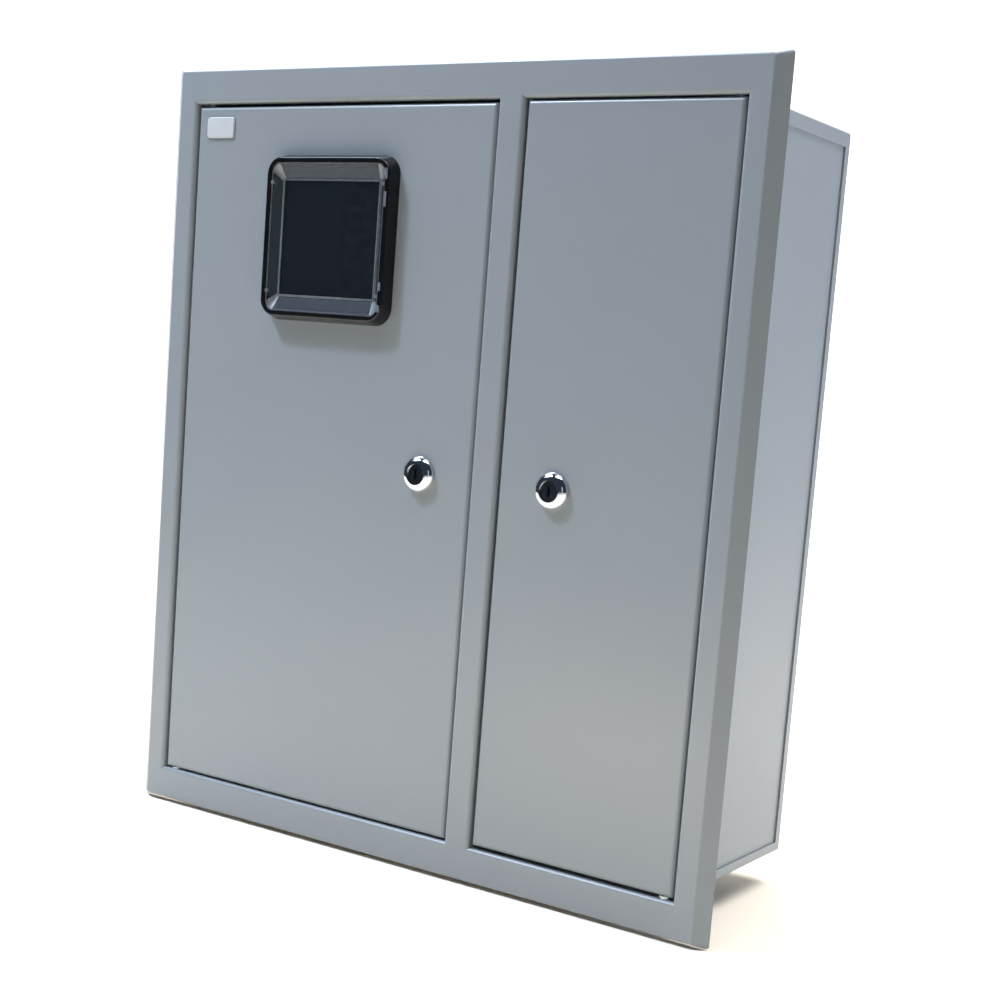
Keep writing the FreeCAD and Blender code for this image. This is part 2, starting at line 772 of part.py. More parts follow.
def pane_posts(floor_z, y):
    """Four posts at the tops of the side slopes, through the lip."""
    across = (bezel_draft + bezel_rim + collar_inset() + collar_wall) / 2
    return [rod(pane_post_radius, vec(x, y[1], z), vec(x, y[0] - pane_post_height, z))
            for x in grown(window_x, -across) for z in grown(floor_z, -pane_post_inset)]


def window_pane():
    """Clear cover: a lip in the bezel's rim, and slopes that lead in to a flat floor with a bead round it."""
    front = door_face_y - window_proud
    inset = bezel_draft + bezel_rim + pane_play
    lip_y = (front + pane_lip_drop, front + pane_lip_drop + pane)
    floor_y = (front + pane_floor_drop, front + pane_floor_drop + pane)
    floor = (pane_floor_width / 2, pane_floor_height / 2)
    floor_outer = (floor[0] + pane / 2, floor[1] + pane / 2)
    way = window_halves(collar_inset() + collar_wall + pane_play)
    lip = window_block(inset, lip_y, window_corner - inset)
    tray = pane_taper(way, floor_outer, (pane_corner, pane_corner), (lip_y[1], floor_y[1]))
    rim = inset + pane_edge
    slopes = pane_taper(window_halves(rim), floor, (window_corner - rim, pane_corner), (lip_y[0], floor_y[0]))
    shape = lip.fuse(tray).removeSplitter().cut(slopes)
    floor_x = around(sum(window_x) / 2, pane_floor_width)
    floor_z = around(sum(window_z) / 2, pane_floor_height)
    details = [pane_bead_ring(floor_x, floor_z, floor_y[0])] + pane_posts(floor_z, lip_y)
    for detail in details + catch_blocks(lip_y, pane_play):
        shape = shape.fuse(detail)
    return shape.removeSplitter()


def window_screw_places():
    x, z = window_pairs(window_screw_inset)
    return [(a, b) for a in x for b in z]


def window_retainer():
    y = (door_face_y + sheet, door_face_y + sheet + retainer)
    way = window_block(aperture_inset, grown(y, 1), aperture_corner)
    ring = window_block(0, y, window_corner).cut(way)
    for a, b in window_screw_places():
        ring = drilled(ring, m3 + hole_play, a, b, y)
    return ring


def window_screws():
    seat = door_face_y + sheet + retainer
    reach = retainer + sheet + screw_bite
    shank = m3 - hole_play / 2
    return [screw(shank, vec(a, seat, b), vec(0, -1, 0), reach) for a, b in window_screw_places()]


def badge_plate():
    y = door_face_y
    left = meter_door_x[0] + badge_from_side
    top = meter_door_top - badge_from_top
    shape = rounded_block((left, left + badge_width), (y - badge_thick, y), (top - badge_height, top),
                          badge_corner)
    return shape.makeChamfer(badge_edge, edges_where(shape, lambda b: near(b.YMax, y - badge_thick)))


# Meter compartment: two hat-section rails on the back, and the plate that the meter is screwed to

def plate_centre():
    return meter_middle, inner_half_z - plate_from_top - plate_height / 2


def hat_rail(z):
    x = around(meter_middle, meter_space - 2 * hat_end_gap)
    y = (-sheet - hat_depth, -sheet)
    solid = block(x, y, around(z, hat_web))
    hollow = block(grown(x, 1), (y[0] + hat_sheet, 1), around(z, hat_web - 2 * hat_sheet))
    foot_y = (-sheet - hat_sheet, -sheet)
    feet = block(x, foot_y, around(z, hat_web + 2 * hat_foot))
    feet = feet.cut(block(grown(x, 1), grown(foot_y, 1), around(z, hat_web - hat_sheet)))
    return solid.cut(hollow).fuse(feet).removeSplitter()


def hat_heights():
    return around(plate_centre()[1], plate_height - 2 * hat_from_end)


def plate_screw_places():
    x = around(meter_middle, meter_space - 2 * plate_side_gap - 2 * hat_foot)
    return [(a, b) for a in x for b in hat_heights()]


def flat_slot(x, z, length, radius, y, upright=False):
    """Round-ended slot through a plate that stands in the plane of the doors."""
    straight = length / 2 - radius
    step = vec(0, 0, straight) if upright else vec(straight, 0, 0)
    centre = vec(x, y[0], z)
    across = (x - radius, x + radius) if upright else (x - straight, x + straight)
    tall = (z - straight, z + straight) if upright else (z - radius, z + radius)
    slot = block(across, y, tall)
    for end in (centre - step, centre + step):
        slot = slot.fuse(rod(radius, end, end + vec(0, y[1] - y[0], 0)))
    return slot.removeSplitter()


def meter_plate():
    x, z = plate_centre()
    y = (plate_y - plate, plate_y)
    width = meter_space - 2 * plate_side_gap
    shape = rounded_block(around(x, width), y, around(z, plate_height), plate_corner)
    through = grown(y, 1)
    for across in around(x, slot_span_x):
        for up in around(z, slot_span_z):
            shape = shape.cut(flat_slot(across, up, slot_length, slot_radius, through))
    hang = z + slot_span_z / 2 + hang_slot_above
    shape = shape.cut(flat_slot(x, hang, hang_slot_length, slot_radius, through, upright=True))
    for across, up in plate_screw_places():
        shape = drilled(shape, m5 + hole_play, across, up, y)
    return shape


def hat_rail_drilled(z):
    rail = hat_rail(z)
    for x, height in plate_screw_places():
        if near(height, z):
            rail = drilled(rail, m5, x, z, (plate_y, plate_y + hat_sheet))
    return rail


def meter_plate_screws():
    seat = plate_y - plate
    return [screw(m5 - hole_play / 2, vec(x, seat, z), vec(0, 1, 0), plate + hat_sheet + thread_reach)
            for x, z in plate_screw_places()]


# Breaker compartment: uprights, mounting rails, terminal bars and the cover

def post_x(side):
    """Middle of an upright's front flange; side is -1 at the left."""
    edge = breaker_left if side < 0 else panel_inner_x
    return edge - side * (post_from_side + post_foot / 2)


def upright(side):
    middle = post_x(side)
    outer = middle + side * post_foot / 2
    web = sorted((outer, outer - side * post_sheet))
    z = grown((-inner_half_z, inner_half_z), -post_end_gap)
    front_skin = (post_front_y, post_front_y + post_sheet)
    front = block(around(middle, post_foot), front_skin, z)
    foot = block(around(middle, post_foot), (-sheet - post_sheet, -sheet), z)
    shape = front.fuse(foot).fuse(block(web, (post_front_y, -sheet), z)).removeSplitter()
    for height in rail_heights() + [neutral_bar_z, earth_bar_z]:
        shape = drilled(shape, m5, middle, height, front_skin)
    return shape


def rail_heights():
    return [rail_middle + rail_pitch, rail_middle, rail_middle - rail_pitch]


def mounting_rail(z):
    x = grown((post_x(-1), post_x(1)), rail_past_post)
    web_y = (post_front_y - rail_sheet, post_front_y)
    web = block(x, web_y, around(z, rail_hat))
    shape = web
    for side in (1, -1):
        wall = sorted((z + side * rail_hat / 2, z + side * (rail_hat / 2 - rail_sheet)))
        lip = sorted((z + side * rail_width / 2, z + side * (rail_hat / 2 - rail_sheet)))
        shape = shape.fuse(block(x, (rail_face_y, post_front_y), wall))
        shape = shape.fuse(block(x, (rail_face_y, rail_face_y + rail_sheet), lip))
    shape = shape.removeSplitter()
    for side in (1, -1):
        shape = drilled(shape, m5 + hole_play, post_x(side), z, web_y)
    return shape


def rail_screws():
    seat = post_front_y - rail_sheet
    reach = rail_sheet + post_sheet + thread_reach
    return [screw(m5 - hole_play / 2, vec(post_x(side), seat, z), vec(0, 1, 0), reach)
            for side in (1, -1) for z in rail_heights()]


def bar_supports(z):
    """Posts under a terminal bar, each with a spigot through the upright's flange."""
    supports = []
    for side in (1, -1):
        seat, x = post_front_y, post_x(side)
        post = rod(bar_stand_radius, vec(x, seat, z), vec(x, seat - bar_stand, z))
        spigot = rod(m5 - hole_play / 2, vec(x, seat, z), vec(x, seat + post_sheet + thread_reach, z))
        supports.append(post.fuse(spigot))
    return supports


def terminal_bar(z):
    y = (post_front_y - bar_stand - bar_depth, post_front_y - bar_stand)
    shape = block(grown((post_x(-1), post_x(1)), bar_past_post), y, around(z, bar_height))
    middle = (y[0] + y[1]) / 2
    for x in bar_hole_places():
        low, high = vec(x, middle, z - bar_height), vec(x, middle, z + bar_height)
        shape = shape.cut(rod(bar_hole_radius, low, high))
        shape = shape.cut(rod(m4, vec(x, y[0] - 1, z), vec(x, middle, z)))
    return shape


def bar_hole_places():
    span = post_x(1) - post_x(-1) - 2 * bar_hole_from_post
    gaps = int(span / bar_hole_pitch)
    return [breaker_middle + (step - gaps / 2) * bar_hole_pitch for step in range(gaps + 1)]


def terminal_screws(z):
    face = post_front_y - bar_stand - bar_depth
    end = face + bar_depth / 2 - bar_hole_radius
    return [rod(m4 - hole_play / 2, vec(x, face - m4, z), vec(x, end, z)) for x in bar_hole_places()]


def cover_x():
    return (breaker_left + cover_play, panel_inner_x - cover_play)


def cover_z():
    return grown((-inner_half_z, inner_half_z), -cover_end_gap)


def cover_screw_places():
    height = cover_z()[1] - cover_screw_from_end
    inset = cover_bracket_leg / 2
    x = cover_x()
    return [(a, b) for a in (x[0] + inset, x[1] - inset) for b in (-height, height)]


def breaker_cover():
    z = cover_z()
    x = cover_x()
    shape = block(x, (cover_y, cover_y + sheet), z)
    turned_x = grown(x, -cover_bracket_leg - cover_play)
    for end_z in ((z[0], z[0] + sheet), (z[1] - sheet, z[1])):
        shape = shape.fuse(block(turned_x, (cover_y, cover_y + cover_return), end_z))
    shape = shape.removeSplitter()
    for height in rail_heights():
        way = rounded_block(grown(x, -cover_window_margin), (cover_y - 1, cover_y + 2 * sheet),
                            around(height, cover_window_height), cover_corner)
        shape = shape.cut(way)
    for a, b in cover_screw_places():
        shape = drilled(shape, m4 + hole_play, a, b, (cover_y, cover_y + sheet))
    return shape


def cover_brackets():
    brackets = []
    y = cover_y + sheet
    for x, z in cover_screw_places():
        wall, inward = (breaker_left, 1) if x < breaker_middle else (panel_inner_x, -1)
        front_x = sorted((wall, wall + inward * (cover_bracket_leg + cover_play)))
        side_x = sorted((wall, wall + inward * cover_bracket))
        tall = around(z, cover_bracket_height)
        leg_y = (y, y + cover_bracket)
        shape = block(front_x, leg_y, tall).fuse(block(side_x, (y, y + cover_bracket_depth), tall))
        brackets.append(drilled(shape.removeSplitter(), m4, x, z, leg_y))
    return brackets


def cover_screws():
    reach = sheet + cover_bracket + thread_reach
    shank = m4 - hole_play / 2
    return [screw(shank, vec(x, cover_y, z), vec(0, 1, 0), reach) for x, z in cover_screw_places()]


# Earth stud of the case, standing on the bottom

def earth_stud_base():
    return vec(earth_stud_from_side - panel_inner_x, -earth_stud_set_back, -inner_half_z)


def earth_stud():
    base = earth_stud_base()
    return rod(m6, base, base + vec(0, 0, stud_length))


def earth_stud_nut():
    return nut(m6, stud_nut, earth_stud_base() + vec(0, 0, sheet), vec(0, 0, 1), m6)


def save_lock(name, x):
    save(name + "_lock_housing", lock_housing(x))
    save(name + "_lock_nut", lock_nut_ring(x))
    save(name + "_lock_plug", lock_plug(x))
    save(name + "_lock_cam", lock_cam(x))
    save(name + "_lock_bolt", cam_bolt(x))


os.makedirs("parts", exist_ok=True)
save("front_frame", front_frame())
save("case_wrap", case_wrap())
save("side_panel_left", side_panel(-1))
save("side_panel_right", side_panel(1))
save("partition", partition())
save("frame_screws", frame_screws())
save("meter_hinge_brackets", [hinge_bracket(meter_pin_x, side) for side in (1, -1)])
save("breaker_hinge_brackets", [hinge_bracket(breaker_pin_x, side) for side in (1, -1)])
save("meter_hinge_pins", [hinge_pin(meter_pin_x, side, -1) for side in (1, -1)])
save("breaker_hinge_pins", [hinge_pin(breaker_pin_x, side, 1) for side in (1, -1)])
save("hinge_washers", [hinge_washer(x, side, -1 if x < 0 else 1) for x, side in pin_places()])
save("door_buffers", door_buffers())
save("meter_door", meter_door())
save("meter_door_lugs", hinge_lugs(meter_pin_x, -1, -1))
save("meter_door_stud", door_stud(meter_door_x[0] + door_stud_inset))
save("meter_door_stud_nut", door_stud_nut(meter_door_x[0] + door_stud_inset))
save("breaker_door", door_pan(breaker_door_x, 1, breaker_lock_x, breaker_pin_x))
save("breaker_door_lugs", hinge_lugs(breaker_pin_x, 1, 1))
save("breaker_door_stud", door_stud(breaker_door_x[1] - door_stud_inset))
save("breaker_door_stud_nut", door_stud_nut(breaker_door_x[1] - door_stud_inset))
save_lock("meter", meter_lock_x)
save_lock("breaker", breaker_lock_x)
save("window_bezel", window_bezel())
save("window_pane", window_pane())
save("window_retainer", window_retainer())
save("window_screws", window_screws())
save("badge_plate", badge_plate())
save("meter_rail_upper", hat_rail_drilled(hat_heights()[1]))
save("meter_rail_lower", hat_rail_drilled(hat_heights()[0]))
save("meter_plate", meter_plate())
save("meter_plate_screws", meter_plate_screws())
save("upright_left", upright(-1))
save("upright_right", upright(1))
for rail_name, rail_z in zip(("upper", "middle", "lower"), rail_heights()):
    save("mounting_rail_" + rail_name, mounting_rail(rail_z))
save("rail_screws", rail_screws())
save("neutral_bar", terminal_bar(neutral_bar_z))
save("neutral_insulators", bar_supports(neutral_bar_z))
save("neutral_bar_screws", terminal_screws(neutral_bar_z))
save("earth_bar", terminal_bar(earth_bar_z))
save("earth_bar_spacers", bar_supports(earth_bar_z))
save("earth_bar_screws", terminal_screws(earth_bar_z))
save("breaker_cover", breaker_cover())
save("cover_brackets", cover_brackets())
save("cover_screws", cover_screws())
save("earth_stud", earth_stud())
save("earth_stud_nut", earth_stud_nut())
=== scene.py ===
import math

import bmesh
import bpy
from mathutils import Matrix, Vector


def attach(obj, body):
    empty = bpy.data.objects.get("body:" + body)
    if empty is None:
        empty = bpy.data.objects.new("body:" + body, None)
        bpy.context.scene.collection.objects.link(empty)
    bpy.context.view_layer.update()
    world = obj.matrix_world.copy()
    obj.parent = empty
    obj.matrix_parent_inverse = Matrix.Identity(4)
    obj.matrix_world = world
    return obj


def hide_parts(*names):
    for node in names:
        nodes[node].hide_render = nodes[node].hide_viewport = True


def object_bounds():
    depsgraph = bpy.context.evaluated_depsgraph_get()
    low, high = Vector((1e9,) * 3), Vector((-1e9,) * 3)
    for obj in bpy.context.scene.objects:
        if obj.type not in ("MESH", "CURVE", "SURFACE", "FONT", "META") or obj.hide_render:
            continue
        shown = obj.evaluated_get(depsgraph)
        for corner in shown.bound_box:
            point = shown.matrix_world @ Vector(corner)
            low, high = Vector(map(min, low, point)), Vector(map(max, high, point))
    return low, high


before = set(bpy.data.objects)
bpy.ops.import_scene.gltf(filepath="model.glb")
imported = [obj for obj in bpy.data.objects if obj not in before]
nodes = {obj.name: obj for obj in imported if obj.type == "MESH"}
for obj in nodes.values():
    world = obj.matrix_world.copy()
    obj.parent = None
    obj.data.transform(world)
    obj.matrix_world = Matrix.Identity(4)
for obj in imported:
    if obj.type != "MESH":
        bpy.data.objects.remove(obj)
cad_low, cad_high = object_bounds()
MM = 0.001


# Case: the box that goes into the wall. A wrap folded from one sheet makes the top, back and bottom,
# and laps over the two flat side panels. All of it is sheet steel under a light grey powder coat,
# baked on, which flows into a satin skin with a very fine orange peel.
def linear(code):
    """Linear colour from an sRGB hex value."""
    parts = [int(code[i:i + 2], 16) / 255 for i in (1, 3, 5)]
    return [c / 12.92 if c <= 0.04045 else ((c + 0.055) / 1.055) ** 2.4 for c in parts] + [1.0]


def add_node(tree, kind, inputs, **settings):
    """Adds a node; an input given as a socket is linked, and any other is set as a value."""
    node = tree.nodes.new(kind)
    for name, value in settings.items():
        setattr(node, name, value)
    for name, value in inputs.items():
        if isinstance(value, bpy.types.NodeSocket):
            tree.links.new(value, node.inputs[name])
        else:
            node.inputs[name].default_value = value
    return node


def start_finish(name):
    """New material: the material, its node tree, its surface shader and its Object coordinates."""
    finish = bpy.data.materials.new(name)
    finish.use_nodes = True
    tree = finish.node_tree
    surface = tree.nodes["Principled BSDF"]
    place = add_node(tree, "ShaderNodeTexCoord", {}).outputs["Object"]
    return finish, tree, surface, place


def give(finish, *names):
    """Paints CAD nodes with a finish."""
    for name in names:
        mesh = nodes[name].data
        mesh.materials.clear()
        mesh.materials.append(finish)


COAT_GREY = "#7e8589"
COAT_GREY_THICK = "#82898d"     # where the coat lies a little heavier
COAT_CLOUD = 140.0              # mm across a patch of slightly different tone
COAT_PEEL = 1.6                 # mm between the peaks of the orange peel
COAT_PEEL_DEPTH = 0.05          # mm from the peaks to the dips
COAT_ROUGH = (0.30, 0.38)       # roughness of the glossier and the duller patches


def powder_coat(name):
    """Baked polyester powder on steel: an even satin tone, a fine orange peel and faint clouds."""
    finish, tree, surface, place = start_finish(name)
    cloud = add_node(tree, "ShaderNodeTexNoise",
                     {"Vector": place, "Scale": 1 / (COAT_CLOUD * MM), "Detail": 3.0, "Roughness": 0.55})
    tone = add_node(tree, "ShaderNodeMix",
                    {0: cloud.outputs["Fac"], 6: linear(COAT_GREY), 7: linear(COAT_GREY_THICK)},
                    data_type="RGBA")
    peel = add_node(tree, "ShaderNodeTexNoise",
                    {"Vector": place, "Scale": 1 / (COAT_PEEL * MM), "Detail": 2.0, "Roughness": 0.4})
    skin = add_node(tree, "ShaderNodeBump",
                    {"Height": peel.outputs["Fac"], "Strength": 0.12, "Distance": COAT_PEEL_DEPTH * MM})
    gloss = add_node(tree, "ShaderNodeMapRange",
                     {"Value": cloud.outputs["Fac"], "To Min": COAT_ROUGH[0], "To Max": COAT_ROUGH[1]})
    tree.links.new(tone.outputs[2], surface.inputs["Base Color"])
    tree.links.new(skin.outputs["Normal"], surface.inputs["Normal"])
    tree.links.new(gloss.outputs["Result"], surface.inputs["Roughness"])
    surface.inputs["IOR"].default_value = 1.5
    return finish


coated_steel = powder_coat("powder_coated_steel")
give(coated_steel, "case_wrap", "side_panel_left", "side_panel_right", "partition", "breaker_cover")


# Meter compartment: two hat-section rails spot-welded to the back carry the steel plate that the meter
# is screwed to. Rails and plate are hot-dip galvanised sheet, with the large pale and dark crystals that
# zinc leaves as it cools. The uprights, mounting rails, spacers and brackets are the same sheet.
ZINC_PALE = "#b9bdbf"
ZINC_DARK = "#a1a7aa"
ZINC_CRYSTAL = 7.0              # mm across one crystal
ZINC_ROUGH = (0.32, 0.5)        # each crystal has its own gloss between these

galvanised_sheet, tree, surface, place = start_finish("galvanised_sheet")
crystal = add_node(tree, "ShaderNodeTexVoronoi", {"Vector": place, "Scale": 1 / (ZINC_CRYSTAL * MM)})
grey = add_node(tree, "ShaderNodeSeparateColor", {"Color": crystal.outputs["Color"]})
tone = add_node(tree, "ShaderNodeMix",
                {0: grey.outputs["Red"], 6: linear(ZINC_PALE), 7: linear(ZINC_DARK)},
                data_type="RGBA")
gloss = add_node(tree, "ShaderNodeMapRange",
                 {"Value": grey.outputs["Green"], "To Min": ZINC_ROUGH[0], "To Max": ZINC_ROUGH[1]})
tree.links.new(tone.outputs[2], surface.inputs["Base Color"])
tree.links.new(gloss.outputs["Result"], surface.inputs["Roughness"])
surface.inputs["Metallic"].default_value = 0.9
give(galvanised_sheet, "meter_rail_upper", "meter_rail_lower", "meter_plate", "upright_left",
     "upright_right", "mounting_rail_upper", "mounting_rail_middle", "mounting_rail_lower",
     "cover_brackets", "meter_hinge_brackets", "breaker_hinge_brackets", "earth_bar_spacers")


# Fasteners: screws, studs, nuts, hinge pins and washers, cold-headed or turned from steel and bright
# zinc-plated, which gives them a thin, slightly blue shine with cloudy handling marks.
PLATE_BRIGHT = "#b4b8ba"
PLATE_CLOUDY = "#959999"
PLATE_MARK = 2.5                # mm across a cloudy mark
PLATE_ROUGH = (0.18, 0.4)       # roughness from the bright skin to the cloudy marks

zinc_plate, tree, surface, place = start_finish("bright_zinc_plate")
mark = add_node(tree, "ShaderNodeTexNoise",
                {"Vector": place, "Scale": 1 / (PLATE_MARK * MM), "Detail": 4.0})
tone = add_node(tree, "ShaderNodeMix",
                {0: mark.outputs["Fac"], 6: linear(PLATE_BRIGHT), 7: linear(PLATE_CLOUDY)},
                data_type="RGBA")
gloss = add_node(tree, "ShaderNodeMapRange",
                 {"Value": mark.outputs["Fac"], "To Min": PLATE_ROUGH[0], "To Max": PLATE_ROUGH[1]})
tree.links.new(tone.outputs[2], surface.inputs["Base Color"])
tree.links.new(gloss.outputs["Result"], surface.inputs["Roughness"])
surface.inputs["Metallic"].default_value = 1.0
give(zinc_plate, "frame_screws", "meter_plate_screws", "rail_screws", "neutral_bar_screws",
     "earth_bar_screws", "cover_screws", "window_screws", "earth_stud", "earth_stud_nut",
     "meter_door_stud", "breaker_door_stud", "meter_door_stud_nut", "breaker_door_stud_nut",
     "meter_hinge_pins", "breaker_hinge_pins", "hinge_washers")


# Terminal bars: drawn brass bars drilled for the wires, the neutral one on blue moulded insulators.
# Brass from the draw bench has fine lines along its length and a dull yellow tone.
BRASS_BRIGHT = "#c9a860"
BRASS_DULL = "#a88a4a"
DRAW_LINE = 0.4                 # mm between the lines that drawing leaves, coarse enough to show
DRAW_STRETCH = 0.02             # the lines run fifty times as long as they are wide
INSULATOR_BLUE = "#2f5aa0"
MOULD_GRAIN = 0.7               # mm, grain of a moulded part, coarse enough to show
MOULD_GRAIN_DEPTH = 0.05        # mm

drawn_brass, tree, surface, place = start_finish("drawn_brass")
stretched = add_node(tree, "ShaderNodeMapping", {"Vector": place, "Scale": (DRAW_STRETCH, 1.0, 1.0)})
line = add_node(tree, "ShaderNodeTexNoise",
                {"Vector": stretched.outputs["Vector"], "Scale": 1 / (DRAW_LINE * MM)})
tone = add_node(tree, "ShaderNodeMix",
                {0: line.outputs["Fac"], 6: linear(BRASS_BRIGHT), 7: linear(BRASS_DULL)},
                data_type="RGBA")
tree.links.new(tone.outputs[2], surface.inputs["Base Color"])
surface.inputs["Metallic"].default_value = 1.0
surface.inputs["Roughness"].default_value = 0.3
give(drawn_brass, "neutral_bar", "earth_bar")

insulator, tree, surface, place = start_finish("moulded_insulator")
grain = add_node(tree, "ShaderNodeTexNoise",
                 {"Vector": place, "Scale": 1 / (MOULD_GRAIN * MM), "Detail": 3.0})
skin = add_node(tree, "ShaderNodeBump",
                {"Height": grain.outputs["Fac"], "Strength": 0.2, "Distance": MOULD_GRAIN_DEPTH * MM})
tree.links.new(skin.outputs["Normal"], surface.inputs["Normal"])
surface.inputs["Base Color"].default_value = linear(INSULATOR_BLUE)
surface.inputs["Roughness"].default_value = 0.5
give(insulator, "neutral_insulators")


# Front frame: one pressed sheet whose rims turn back round the wall opening, with a return and a stop
# flange folded in round each doorway. It is coated with the rest, and soft rubber pads on its flanges,
# matt and dark, quiet the doors.
PAD_GREY = "#3a3c3e"

frame_coat = powder_coat("powder_coated_frame")
give(frame_coat, "front_frame")

soft_pad, tree, surface, place = start_finish("soft_rubber_pad")
grain = add_node(tree, "ShaderNodeTexNoise",
                 {"Vector": place, "Scale": 1 / (MOULD_GRAIN * MM), "Detail": 2.0})
skin = add_node(tree, "ShaderNodeBump",
                {"Height": grain.outputs["Fac"], "Strength": 0.3, "Distance": MOULD_GRAIN_DEPTH * MM})
tree.links.new(skin.outputs["Normal"], surface.inputs["Normal"])
surface.inputs["Base Color"].default_value = linear(PAD_GREY)
surface.inputs["Roughness"].default_value = 0.75
give(soft_pad, "door_buffers")


# Doors: folded steel pans, coated like the frame. Each has hinge lugs welded inside its ends and an
# earth stud, and swings on headed pins behind the frame.
door_coat = powder_coat("powder_coated_doors")
give(door_coat, "meter_door", "breaker_door", "meter_door_lugs", "breaker_door_lugs")


# Cam locks: a die-cast housing polished and chromed, with a turned barrel set in its face. The cam
# behind is zinc-plated strip. Chrome mirrors the room, and handling leaves hair-fine scratches.
CHROME = "#e1e3e5"
CHROME_ROUGH = (0.04, 0.14)     # roughness of the polish and of its scratches
# The barrel's chrome is painted darker than the housing's, as painted shade for the dark room its face
# mirrors.
BARREL_CHROME_SHADED = "#8d9195"
BARREL_ROUGH = (0.07, 0.16)     # the turned face is a little duller
SCRATCH = 0.25                  # mm between scratches, coarse enough to show

lock_chrome, tree, surface, place = start_finish("polished_chrome")
scratch = add_node(tree, "ShaderNodeTexNoise",
                   {"Vector": place, "Scale": 1 / (SCRATCH * MM), "Detail": 3.0})
gloss = add_node(tree, "ShaderNodeMapRange",
                 {"Value": scratch.outputs["Fac"], "To Min": CHROME_ROUGH[0], "To Max": CHROME_ROUGH[1]})
tree.links.new(gloss.outputs["Result"], surface.inputs["Roughness"])
surface.inputs["Base Color"].default_value = linear(CHROME)
surface.inputs["Metallic"].default_value = 1.0
give(lock_chrome, "meter_lock_housing", "breaker_lock_housing")

lock_barrel, tree, surface, place = start_finish("turned_barrel")
scratch = add_node(tree, "ShaderNodeTexNoise",
                   {"Vector": place, "Scale": 1 / (SCRATCH * MM), "Detail": 3.0})
gloss = add_node(tree, "ShaderNodeMapRange",
                 {"Value": scratch.outputs["Fac"], "To Min": BARREL_ROUGH[0], "To Max": BARREL_ROUGH[1]})
tree.links.new(gloss.outputs["Result"], surface.inputs["Roughness"])
surface.inputs["Base Color"].default_value = linear(BARREL_CHROME_SHADED)
surface.inputs["Metallic"].default_value = 1.0
give(lock_barrel, "meter_lock_plug", "breaker_lock_plug")
give(zinc_plate, "meter_lock_cam", "breaker_lock_cam", "meter_lock_bolt", "breaker_lock_bolt",
     "meter_lock_nut", "breaker_lock_nut")


# Window: a black ABS bezel pushed through the door, and a clear polycarbonate cover in its rim. The
# retainer behind is the same black moulding. Edges that come out of a mould are slightly round, so the
# bezel and the cover get fine bevels. Behind the cover the box is dark.
MOULD_EDGE = 0.35               # mm, edge radius of the mouldings
MOULD_BLACK = "#08090b"
MOULD_ROUGH = (0.2, 0.28)
BEZEL_GRAIN_DEPTH = 0.02        # mm
COVER_TINT = "#7a8691"
COVER_GLINT = "#a6b4c6"         # the cover's anti-glare hard coat mirrors little, and a bit blue
COVER_ROUGH = (0.02, 0.12)      # roughness of the wiped skin and of the smears on it
SMEARS_PER_METRE = 60.0
SMEAR_SHOWS = (0.45, 0.8)       # the part of the smear pattern's values that dulls the skin
NARROW = 1.6                    # mm, faces narrower than this count as edges, beads and posts
# The cover's narrow faces get a painted highlight: a pale colour in brighter and dimmer stretches.
EDGE_HIGHLIGHT_BRIGHT = "#cfd8df"
EDGE_HIGHLIGHT_DIM = "#6f7880"
EDGE_GLINT_SPACING = 4.0                # mm between brighter and duller stretches of an edge
FOLD_ANGLE = math.radians(18)   # faces that meet more sharply than this have an edge between them
FLAT_ANGLE = math.radians(1)    # triangles that meet more flatly than this are one face
SAME_POINT = 0.002              # mm, points closer than this are one point


def soft_edged(name, body, radius, narrow_finish=None):
    """Copy of a CAD node with whole faces and a fine bevel; its narrow faces can have their own finish."""
    piece = bpy.data.objects.new(name + "_soft_edged", nodes[name].data.copy())
    bpy.context.scene.collection.objects.link(piece)
    shell = bmesh.new()
    shell.from_mesh(piece.data)
    bmesh.ops.remove_doubles(shell, verts=shell.verts[:], dist=SAME_POINT * MM)
    bmesh.ops.dissolve_limit(shell, angle_limit=FLAT_ANGLE, verts=shell.verts[:], edges=shell.edges[:])
    for edge in shell.edges:
        edge.smooth = not edge.is_manifold or edge.calc_face_angle() < FOLD_ANGLE
    for face in shell.faces:
        face.smooth = True
        face_width = 2 * face.calc_area() / face.calc_perimeter()
        if narrow_finish and face_width < NARROW * MM:
            face.material_index = 1
    shell.to_mesh(piece.data)
    shell.free()
    if narrow_finish:
        piece.data.materials.append(narrow_finish)
    bevel = piece.modifiers.new("mould_edges", "BEVEL")
    bevel.width = radius * MM
    bevel.segments = 2
    bevel.limit_method = "ANGLE"
    bevel.angle_limit = FOLD_ANGLE
    bevel.use_clamp_overlap = True
    bevel.harden_normals = True
    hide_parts(name)
    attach(piece, body)


# Moulded ABS is a deep black whose fine grain spreads its shine a little.
black_moulding, tree, surface, place = start_finish("black_abs_moulding")
grain = add_node(tree, "ShaderNodeTexNoise",
                 {"Vector": place, "Scale": 1 / (MOULD_GRAIN * MM), "Detail": 3.0})
skin = add_node(tree, "ShaderNodeBump",
                {"Height": grain.outputs["Fac"], "Strength": 0.06, "Distance": BEZEL_GRAIN_DEPTH * MM})
gloss = add_node(tree, "ShaderNodeMapRange",
                 {"Value": grain.outputs["Fac"], "To Min": MOULD_ROUGH[0], "To Max": MOULD_ROUGH[1]})
tree.links.new(skin.outputs["Normal"], surface.inputs["Normal"])
tree.links.new(gloss.outputs["Result"], surface.inputs["Roughness"])
surface.inputs["Base Color"].default_value = linear(MOULD_BLACK)
surface.inputs["Specular IOR Level"].default_value = 0.4
give(black_moulding, "window_bezel", "window_retainer")
soft_edged("window_bezel", "meter_door", MOULD_EDGE)

